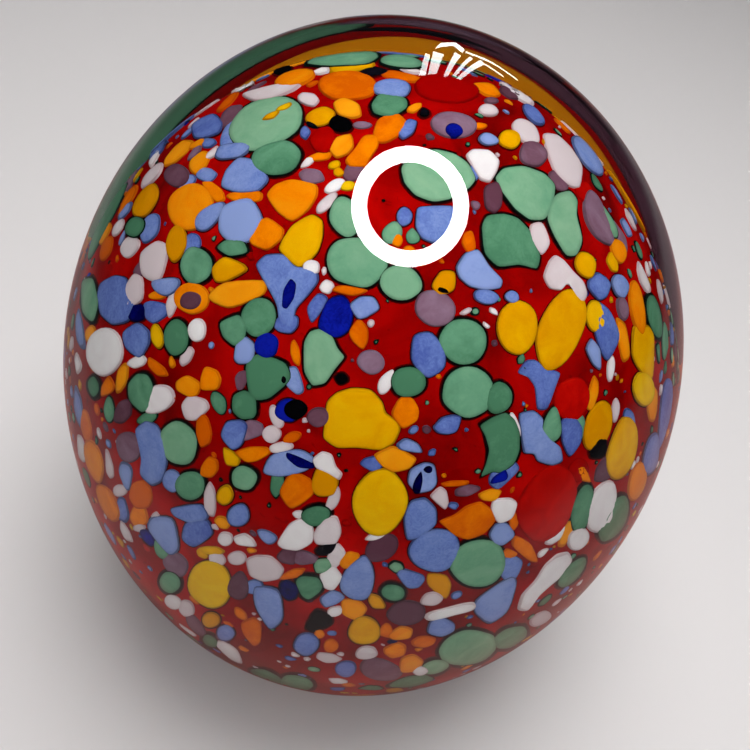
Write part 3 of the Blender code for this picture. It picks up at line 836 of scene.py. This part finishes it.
class ChipMesh:
    """Collects chips of one colour into one mesh."""

    def __init__(self):
        self.points = []
        self.faces = []
        self.inset = []
        self.tone = []

    def add(self, outline, spots, rings, lift, tone):
        """Adds a chip: a thin lens on the core, closed underneath by its root in the red layer.
        Returns its middle and its mean reach."""
        along = np.roll(outline, -1, axis=0) - outline
        area = (outline[:, 0] * along[:, 1] - outline[:, 1] * along[:, 0]).sum() / 2
        half = 2 * area / np.linalg.norm(along, axis=1).sum()
        outline = outline * MM
        sides = len(outline)
        loops = [outline * share for share, _ in rings] + [outline * ROOT_SHARE]
        depths = [depth - lift for _, depth in rings] + [ROOT_DEPTH]
        offsets = np.concatenate([np.zeros((1, 2)), *loops, np.zeros((1, 2))])
        depth = np.concatenate([[-lift], np.repeat(depths, sides), [ROOT_DEPTH]]) * MM
        places = spots(offsets)
        if not np.isfinite(places).all():
            return None
        start = len(self.points)
        solid = places - egg_normals(core_egg, places) * depth[:, None]
        self.points.extend(solid)
        last = start + len(solid) - 1
        for i in range(sides):
            j = (i + 1) % sides
            self.faces.append((start, start + 1 + i, start + 1 + j))
            for ring in range(len(loops) - 1):
                a = start + 1 + ring * sides
                b = a + sides
                self.faces.append((a + i, b + i, b + j, a + j))
            a = start + 1 + (len(loops) - 1) * sides
            self.faces.append((a + i, last, a + j))
        shares = [0.0] + [share for share, _ in rings for _ in range(sides)] + [1.0] * (sides + 1)
        self.inset.extend((1 - share) * half for share in shares)
        self.tone.extend([tone] * len(solid))
        rim = places[1 + (len(rings) - 1) * sides : 1 + len(rings) * sides]
        reach = np.linalg.norm(rim - places[0], axis=1).mean()
        return places[0], reach

    def make(self, name, colour):
        marks = {"inset": self.inset, "tone": self.tone}
        obj = mesh_object(name, self.points, self.faces, marks)
        obj.data.materials.append(seam_glass() if colour == "seam" else chip_glass(colour))
        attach(obj, BODY)
        return obj


# Materials


def new_material(name):
    material = bpy.data.materials.new(name)
    material.use_nodes = True
    tree = material.node_tree
    return material, tree, tree.nodes["Principled BSDF"]


def node(tree, kind, **settings):
    """A new node; a setting named after an input sets it, and any other sets the node."""
    made = tree.nodes.new(kind)
    for name, value in settings.items():
        label = name.replace("_", " ").title()
        if label in made.inputs:
            made.inputs[label].default_value = value
        else:
            setattr(made, name, value)
    return made


def ramp(tree, factor, stops):
    made = tree.nodes.new("ShaderNodeValToRGB")
    elements = made.color_ramp.elements
    while len(elements) < len(stops):
        elements.new(0.5)
    for element, (place, colour) in zip(elements, stops):
        element.position = place
        element.color = (*linear(colour), 1.0)
    tree.links.new(factor, made.inputs["Fac"])
    return made.outputs["Color"]


def math_node(tree, operation, first, second, clamp=False):
    made = tree.nodes.new("ShaderNodeMath")
    made.operation = operation
    made.use_clamp = clamp
    for socket, value in zip(made.inputs, (first, second)):
        if isinstance(value, (int, float)):
            socket.default_value = value
        else:
            tree.links.new(value, socket)
    return made.outputs[0]


def noise(tree, scale, detail=3.0, distortion=0.0):
    place = tree.nodes.new("ShaderNodeTexCoord")
    made = node(tree, "ShaderNodeTexNoise", scale=scale, detail=detail, distortion=distortion)
    tree.links.new(place.outputs["Object"], made.inputs["Vector"])
    return made.outputs["Fac"]


def mark(tree, name):
    return node(tree, "ShaderNodeAttribute", attribute_name=name).outputs["Fac"]


def mixed(tree, factor, first, second):
    made = tree.nodes.new("ShaderNodeMix")
    made.data_type = "RGBA"
    tree.links.new(factor, made.inputs["Factor"])
    for socket, value in ((made.inputs[6], first), (made.inputs[7], second)):
        if isinstance(value, (tuple, list)):
            socket.default_value = (*value, 1.0)
        else:
            tree.links.new(value, socket)
    return made.outputs[2]


def chip_glass(colour):
    """Opaque glass: mottled shades, each chip its own tone, and a dark line round the rim."""
    name = f"{colour}_chip_glass"
    if name in bpy.data.materials:
        return bpy.data.materials[name]
    (dark, middle, light), rim, strength = SHADES[colour]
    material, tree, shader = new_material(name)
    clouds = math_node(tree, "MULTIPLY", noise(tree, 300.0, 3.0, 1.2), 0.4)
    veins = noise(tree, 1500.0, 2.0, 2.5)
    tone = math_node(tree, "MULTIPLY", mark(tree, "tone"), 0.45)
    fine = math_node(tree, "MULTIPLY", veins, STREAKS.get(colour, 0.12))
    blend = math_node(tree, "ADD", math_node(tree, "ADD", clouds, tone), fine)
    body = ramp(tree, blend, ((0.32, dark), (0.52, middle), (0.76, light)))
    width = math_node(tree, "MULTIPLY", noise(tree, 260.0, 2.0), 0.44)
    line = math_node(tree, "SUBTRACT", width, mark(tree, "inset"))
    line = math_node(tree, "MULTIPLY", line, 9.0, clamp=True)
    shade = math_node(tree, "MULTIPLY", mark(tree, "inset"), -0.7)
    shade = math_node(tree, "ADD", shade, 0.42, clamp=True)
    line = math_node(tree, "MULTIPLY", math_node(tree, "MAXIMUM", line, shade), strength)
    tree.links.new(mixed(tree, line, body, tuple(linear(rim))), shader.inputs["Base Color"])
    tree.links.new(math_node(tree, "MULTIPLY", veins, 0.5), shader.inputs["Roughness"])
    shader.inputs["Specular IOR Level"].default_value = 0.0
    return material


def seam_glass():
    """The red where it has darkened round a chip: near black beside it, red further out."""
    material, tree, shader = new_material("darkened_ruby_glass")
    depth = math_node(tree, "MULTIPLY", noise(tree, 700.0, 3.0, 1.0), 0.5)
    depth = math_node(tree, "ADD", depth, mark(tree, "inset"))
    body = ramp(tree, depth, ((0.2, (120, 0, 0)), (0.42, (58, 2, 2)), (0.6, (14, 4, 5))))
    tree.links.new(body, shader.inputs["Base Color"])
    tree.links.new(math_node(tree, "MULTIPLY", depth, 0.5), shader.inputs["Roughness"])
    shader.inputs["Specular IOR Level"].default_value = 0.0
    return material


def ruby_glass():
    """The red layer: deep red with brighter drifts and dark veins."""
    material, tree, shader = new_material("ruby_ground_glass")
    drift = noise(tree, 95.0, 5.0, 0.8)
    body = ramp(tree, drift, ((0.3, (104, 0, 0)), (0.5, (158, 0, 0)), (0.68, (196, 4, 2))))
    veins = noise(tree, 600.0, 3.0, 3.0)
    dark = math_node(tree, "SUBTRACT", veins, 0.62, clamp=True)
    dark = math_node(tree, "MULTIPLY", dark, 3.0, clamp=True)
    tree.links.new(mixed(tree, dark, body, tuple(linear((70, 0, 0)))), shader.inputs["Base Color"])
    tree.links.new(math_node(tree, "MULTIPLY", veins, 0.6), shader.inputs["Roughness"])
    shader.inputs["Specular IOR Level"].default_value = 0.0
    return material


def clear_glass(name, tint):
    """Clear crystal, with the faint waves of a hand-worked surface."""
    material, tree, shader = new_material(name)
    waves = noise(tree, 60.0, 2.0, 0.5)
    bump = node(tree, "ShaderNodeBump", strength=0.04, distance=0.0004)
    tree.links.new(waves, bump.inputs["Height"])
    tree.links.new(bump.outputs["Normal"], shader.inputs["Normal"])
    shader.inputs["Base Color"].default_value = (*linear(tint), 1.0)
    shader.inputs["Transmission Weight"].default_value = 1.0
    shader.inputs["Roughness"].default_value = 0.0
    shader.inputs["IOR"].default_value = GLASS_IOR
    return material


# Pieces


def make_casing():
    wall = grown(core_egg, -WALL_DEPTH)
    profile = egg_profile(casing_egg, 72, 0.0) + egg_profile(wall, 32, 0.0)[::-1]
    casing = turned_piece("crystal_casing", profile, 160)
    casing.data.materials.append(clear_glass("crystal_glass", (250, 252, 251)))
    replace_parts(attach(casing, BODY), "clear_casing")


def make_ground():
    outer = grown(core_egg, -GROUND_DEPTH)
    profile = egg_profile(outer, 48, FOOT_RISE)
    low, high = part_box("gather_core")
    inner = grown(egg_of("gather_core", GATHER_WIDEST, GATHER_BELOW), GATHER_GAP)
    profile += egg_profile(inner, 24, FOOT_RISE)[::-1]
    ground = turned_piece("ruby_layer", profile, 120)
    ground.data.materials.append(ruby_glass())
    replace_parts(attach(ground, BODY), "ruby_ground")


def dress_gather():
    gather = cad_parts["gather_core"]
    gather.data.materials.clear()
    gather.data.materials.append(clear_glass("gather_core_glass", (236, 240, 238)))


def make_chips():
    """Every chip. The CAD's own chips are separate pieces; the others are joined by colour."""
    laid = []
    rest = {colour: ChipMesh() for colour in FRONT_CHIPS}
    rest["seam"] = ChipMesh()
    for colour, rows in FRONT_CHIPS.items():
        for number, row in enumerate(rows, 1):
            chance = random.Random(f"{colour} {number}")
            own = number <= CAD_FRONT.get(colour, 0)
            mesh = ChipMesh() if own else rest[colour]
            laid.append(draw_chip(mesh, row, chance.uniform(0.0, 0.02), chance))
            if colour in SEAMS:
                draw_seam(rest["seam"], row, SEAMS[colour], f"{colour} {number}")
            if own:
                piece = mesh.make(f"{colour}_glass_chip_{number:02d}", colour)
                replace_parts(piece, f"{colour}_chip_{number:02d}")
    for colour, rows in BACK_CHIPS.items():
        for number, (azimuth, height, *size) in enumerate(rows, CAD_FRONT[colour] + 1):
            chance = random.Random(f"{colour} back {number}")
            spots = spots_beside(turned_spot(math.radians(azimuth), height * MM))
            mesh = ChipMesh()
            outline = outline_of(size, chance, 2)
            laid.append(mesh.add(outline, spots, CHIP_RINGS, 0.0, chance.random()))
            piece = mesh.make(f"{colour}_glass_chip_{number:02d}", colour)
            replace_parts(piece, f"{colour}_chip_{number:02d}")
    # Far-side chips that are partly painted shade: the dark ones darken the side of the core that
    # the top margin mirrors.
    for colour, rows in BACK_DETAILS_AND_SHADE.items():
        for number, (azimuth, height, *size) in enumerate(rows, 1):
            chance = random.Random(f"{colour} far {number}")
            spots = spots_beside(turned_spot(math.radians(azimuth), height * MM))
            outline = outline_of(size, chance, 2)
            laid.append(rest[colour].add(outline, spots, CHIP_RINGS, 0.03, chance.random()))
    for chips, lift in ((UNDER_CHIPS, -0.07), (OVER_CHIPS, 0.06)):
        for colour, rows in chips.items():
            for number, row in enumerate(rows, 1):
                chance = random.Random(f"{colour} {lift} {number}")
                laid.append(draw_chip(rest[colour], row, lift, chance))
    fill_chips(rest, laid)
    for colour, mesh in rest.items():
        mesh.make(f"{colour}_glass_chips", colour)


def draw_seam(mesh, row, reach, seed):
    """A wider, deeper copy of a chip, for the darkened red around it."""
    chance = random.Random(seed)
    chance.uniform(0.0, 0.02)
    middle, outline = drawn_chip(row, chance, 2)
    half = np.linalg.norm(outline, axis=1)[:, None]
    mesh.add(outline * (1 + reach / half), drawn_at(middle), CHIP_RINGS, -0.12, 0.5)


def draw_chip(mesh, row, lift, chance):
    middle, outline = drawn_chip(row, chance, 2)
    return mesh.add(outline, drawn_at(middle), CHIP_RINGS, lift, chance.random())


def drawn_at(middle):
    return lambda offsets: seen_spots(offsets + middle * MM)


def seen_tree():
    """A search tree of the points of the core that show on the face drawing, and their
    places on it."""
    steps = np.arange(-42, 43) * MM
    places = np.array([(x, y) for x in steps for y in steps if math.hypot(x, y) < 42 * MM])
    spots = seen_spots(places)
    tree = kdtree.KDTree(len(spots))
    for i, spot in enumerate(spots):
        tree.insert(Vector(spot), i)
    tree.balance()
    return tree, places


def fill_chips(rest, laid):
    """Scatters smaller chips wherever there is room, and only small ones in front."""
    chance = random.Random(7)
    seen, places = seen_tree()
    bare = np.array(OPEN_GROUND) * MM
    colours = [colour for colour, share in FILL_COLOURS for _ in range(share)]
    middles = [np.array(middle) for middle, _ in laid]
    reaches = [reach for _, reach in laid]
    for sizes, in_front in ((FAR_SIZES, False), (NEAR_SIZES, True)):
        for least, most, tries in sizes:
            for _ in range(tries):
                spot = random_spot(chance)
                length = chance.uniform(least, most)
                width = length * chance.uniform(0.6, 1.0)
                turn = chance.uniform(0, 180)
                form = chance.choice(("pebble", "shard", "shard", "drop"))
                colour = chance.choice(colours)
                if spot[2] < LOWEST_CHIP + length * MM / 2:
                    continue
                _, index, away = seen.find(Vector(spot))
                if (away < 1.2 * MM) != in_front:
                    continue
                shown = np.linalg.norm(bare[:, :2] - places[index], axis=1)
                if in_front and length > 0.8 and (shown < bare[:, 2]).any():
                    continue
                reach = (length + width) / 4 * MM
                gaps = np.linalg.norm(np.array(middles) - spot, axis=1) - np.array(reaches)
                if gaps.min() < reach * 0.72:
                    continue
                rings = SMALL_RINGS if length < 1.5 else CHIP_RINGS
                smooth = 1 if length < 1.5 else 2
                outline = outline_of((length, width, turn, form), chance, smooth)
                rest[colour].add(outline, spots_beside(spot), rings, -0.08, chance.random())
                middles.append(spot)
                reaches.append(reach)


def random_spot(chance):
    height = chance.uniform(-1, 1)
    angle = chance.uniform(0, 2 * math.pi)
    flat = math.sqrt(1 - height * height)
    outward = np.array([[flat * math.cos(angle), flat * math.sin(angle), height]])
    start = outward * 0.1 + np.array([[0, 0, core_egg[1]]])
    return egg_hits(core_egg, start, -outward)[0]


# Stage, lights and camera


def add_light(name, place, size, power, colour):
    light = bpy.data.lights.new(name, "AREA")
    light.shape = "DISK"
    light.size = size
    light.energy = power
    light.color = colour
    obj = bpy.data.objects.new(name, light)
    bpy.context.scene.collection.objects.link(obj)
    obj.location = place
    aim = Vector(view_centre) - Vector(place)
    obj.rotation_mode = "QUATERNION"
    obj.rotation_quaternion = aim.to_track_quat("-Z", "Y")
    obj.visible_glossy = False


def glint_direction(right, up):
    """The way the casing mirrors the eye at a place of the face drawing, and where it does."""
    line = sight_lines(np.array([[right, up]]) * MM)
    surface = egg_hits(casing_egg, eye[None], line)
    normal = egg_normals(casing_egg, surface)
    mirrored = line - 2 * (line * normal).sum() * normal
    return Vector(surface[0]), Vector(mirrored[0])


def lamp_material(name, strength, colour):
    """Light that only mirrored rays see, so that it adds a highlight and nothing else."""
    material, tree, shader = new_material(name)
    shader.inputs["Base Color"].default_value = (0, 0, 0, 1)
    shader.inputs["Emission Color"].default_value = (*colour, 1.0)
    rays = tree.nodes.new("ShaderNodeLightPath")
    light = math_node(tree, "MULTIPLY", rays.outputs["Is Reflection Ray"], strength)
    tree.links.new(light, shader.inputs["Emission Strength"])
    return material


def only_mirrored(obj):
    """Lamps that give their highlight only, and leave the lighting to the soft lights."""
    obj.visible_camera = False
    obj.visible_diffuse = False
    obj.visible_transmission = False
    obj.visible_shadow = False


def mirrored_point(place):
    surface, away = glint_direction(*place)
    return surface + away * LAMP_DISTANCE


def make_ring_lamp():
    right, up, half_width, half_height = RING_GLINT
    points = []
    faces = []
    for i in range(RING_SIDES):
        angle = 2 * math.pi * i / RING_SIDES
        for share in (RING_INNER, 1.0):
            x = right + half_width * share * math.cos(angle)
            y = up + half_height * share * math.sin(angle)
            points.append(mirrored_point((x, y)))
        j = (i + 1) % RING_SIDES
        faces.append((2 * i, 2 * j, 2 * j + 1, 2 * i + 1))
    ring = mesh_object("ring_lamp", points, faces)
    ring.data.materials.append(lamp_material("ring_lamp_light", 40.0, (1.0, 0.96, 0.97)))
    only_mirrored(ring)


def make_strip_lamps():
    """The slats of light that the casing mirrors near its top."""
    points = []
    faces = []
    for strip in STRIP_GLINTS:
        start = len(points)
        points.extend(mirrored_point(place) for place in strip)
        faces.append(tuple(range(start, start + len(strip))))
    strips = mesh_object("strip_lamps", points, faces)
    strips.data.materials.append(lamp_material("strip_lamp_light", 9.0, (0.86, 1.0, 0.98)))
    only_mirrored(strips)


def make_floor():
    half = 1.5
    corners = [(-half, -half, 0), (half, -half, 0), (half, half, 0), (-half, half, 0)]
    floor = mesh_object("floor", corners, [(0, 1, 2, 3)])
    material, tree, shader = new_material("floor_paint_and_mirrored_shade")
    place = tree.nodes.new("ShaderNodeTexCoord")
    apart = tree.nodes.new("ShaderNodeSeparateXYZ")
    tree.links.new(place.outputs["Object"], apart.inputs[0])
    across = apart.outputs["X"]
    across = math_node(tree, "MINIMUM", across, math_node(tree, "MULTIPLY", across, 0.5))
    square = math_node(tree, "MULTIPLY", across, across)
    along = math_node(tree, "MULTIPLY", apart.outputs["Y"], apart.outputs["Y"])
    reach = math_node(tree, "SQRT", math_node(tree, "ADD", square, along), 0.0)
    behind = math_node(tree, "ADD", apart.outputs["Y"], 0.02)
    behind = math_node(tree, "MULTIPLY", math_node(tree, "MAXIMUM", behind, 0.0), 0.6)
    reach = math_node(tree, "SUBTRACT", reach, behind)
    # Painted shade: mirrored rays see the floor darkened by this ramp, as if shadowed by the foot
    # and in a dark room; camera rays see the plain floor colour.
    near = ramp(tree, math_node(tree, "MULTIPLY", reach, 5.0), FLOOR_SHADE_IN_GLASS)
    mirrored = tree.nodes.new("ShaderNodeLightPath").outputs["Is Reflection Ray"]
    paint = mixed(tree, mirrored, tuple(linear((206, 203, 203))), near)
    tree.links.new(paint, shader.inputs["Base Color"])
    shader.inputs["Roughness"].default_value = 0.9
    floor.data.materials.append(material)


def make_world():
    world = bpy.data.worlds.new("studio")
    bpy.context.scene.world = world
    world.use_nodes = True
    tree = world.node_tree
    rays = tree.nodes.new("ShaderNodeLightPath").outputs
    colour = mixed(tree, rays["Is Diffuse Ray"], WORLD_MIRRORED, WORLD_FILL)
    colour = mixed(tree, rays["Is Transmission Ray"], colour, WORLD_THROUGH_GLASS)
    colour = mixed(tree, rays["Is Camera Ray"], colour, WORLD_BACKDROP)
    tree.links.new(colour, tree.nodes["Background"].inputs["Color"])


def make_camera():
    right, up, forward = (Vector(axis) for axis in eye_axes())
    aim = Vector(view_centre) + right * VIEW_SIDESTEP
    forward = (aim - Vector(eye)).normalized()
    right = forward.cross(up).normalized()
    up = right.cross(forward)
    camera = bpy.data.cameras.new("camera")
    camera.sensor_width = SENSOR
    camera.lens = LENS
    camera.clip_start = 0.01
    obj = bpy.data.objects.new("camera", camera)
    bpy.context.scene.collection.objects.link(obj)
    turn = Matrix((right, up, -forward)).transposed().to_4x4()
    obj.matrix_world = Matrix.Translation(Vector(eye)) @ turn
    bpy.context.scene.camera = obj


LOWEST_CHIP = 2.0 * MM
LAYING_HEIGHT = 5.0 * MM
GATHER_WIDEST, GATHER_BELOW, GATHER_GAP = 0.6114, 1.051, 0.3 * MM

# Where the casing mirrors the lamps, in mm on the face drawing. The ring: right, up and its
# half width and half height, and its hole as a share. The strips: their corners.
RING_GLINT = (5.3, 21.75, 7.6, 7.8)
RING_INNER = 0.73
RING_SIDES = 96
LAMP_DISTANCE = 0.35
STRIP_GLINTS = (
    ((6.4, 38.6), (7.3, 38.7), (7.9, 41.3), (7.3, 41.6)),
    ((7.6, 38.8), (8.7, 38.9), (9.7, 41.4), (8.3, 41.8)),
    ((9.6, 38.5), (10.2, 38.6), (11.9, 41.2), (11.1, 41.7)),
    ((10.8, 38.7), (11.2, 38.5), (13.4, 40.8), (13.0, 41.1)),
    ((11.3, 38.3), (11.8, 38.1), (15.0, 40.1), (14.4, 40.7)),
    ((12.5, 41.8), (12.4, 41.6), (15.5, 40.4), (15.6, 40.6)),
    ((15.6, 40.6), (15.5, 40.4), (19.2, 38.0), (19.2, 38.15)),
    ((15.0, 40.2), (14.9, 40.05), (17.4, 38.4), (17.5, 38.5)),
    ((8.5, 42.1), (9.5, 42.4), (10.9, 42.5), (12.0, 41.6), (12.3, 42.0), (11.2, 42.9), (9.3, 42.9)),
)
# Painted shade: the floor as the glass mirrors it, out from the foot, darkened for mirrored rays
# only: dimmed, reddish cloth by the foot, then the dark of the room painted in further out.
FLOOR_SHADE_IN_GLASS = (
    (0.19, (150, 116, 112)), (0.26, (120, 104, 104)), (0.44, (128, 124, 124)), (0.58, (92, 88, 88)),
    (0.72, (52, 50, 50)), (0.95, (36, 35, 35)),
)
WORLD_FILL = (0.08, 0.08, 0.082)
WORLD_THROUGH_GLASS = (0.42, 0.42, 0.42)
WORLD_MIRRORED = (0.012, 0.012, 0.013)
WORLD_BACKDROP = (0.72, 0.72, 0.73)

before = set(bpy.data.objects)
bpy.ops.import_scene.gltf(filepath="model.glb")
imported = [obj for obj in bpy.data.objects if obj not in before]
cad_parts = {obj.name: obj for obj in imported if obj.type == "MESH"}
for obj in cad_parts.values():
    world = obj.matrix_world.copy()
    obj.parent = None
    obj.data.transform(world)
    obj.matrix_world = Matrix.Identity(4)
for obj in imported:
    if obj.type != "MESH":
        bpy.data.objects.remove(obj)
cad_box = [list(corner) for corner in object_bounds()]
view_centre = np.array([0.0, 0.0, cad_box[1][2] * VIEW_HEIGHT])
eye = view_centre - eye_axes()[2] * VIEW_DISTANCE
casing_egg = egg_of("clear_casing", CASING_WIDEST, CASING_BELOW)
core_egg = grown(egg_of("ruby_ground", GROUND_WIDEST, GROUND_BELOW), CHIP_ROOM)

bpy.context.scene.view_settings.view_transform = "Standard"
make_camera()
make_world()
make_floor()
make_ring_lamp()
make_strip_lamps()
add_light("overhead_softbox", (0.02, 0.02, 0.4), 0.3, 1.5, (1.0, 0.995, 0.99))
add_light("near_softbox", (0.02, -0.15, 0.4), 0.3, 0.75, (1.0, 0.995, 0.99))

make_casing()
make_ground()
dress_gather()
make_chips()
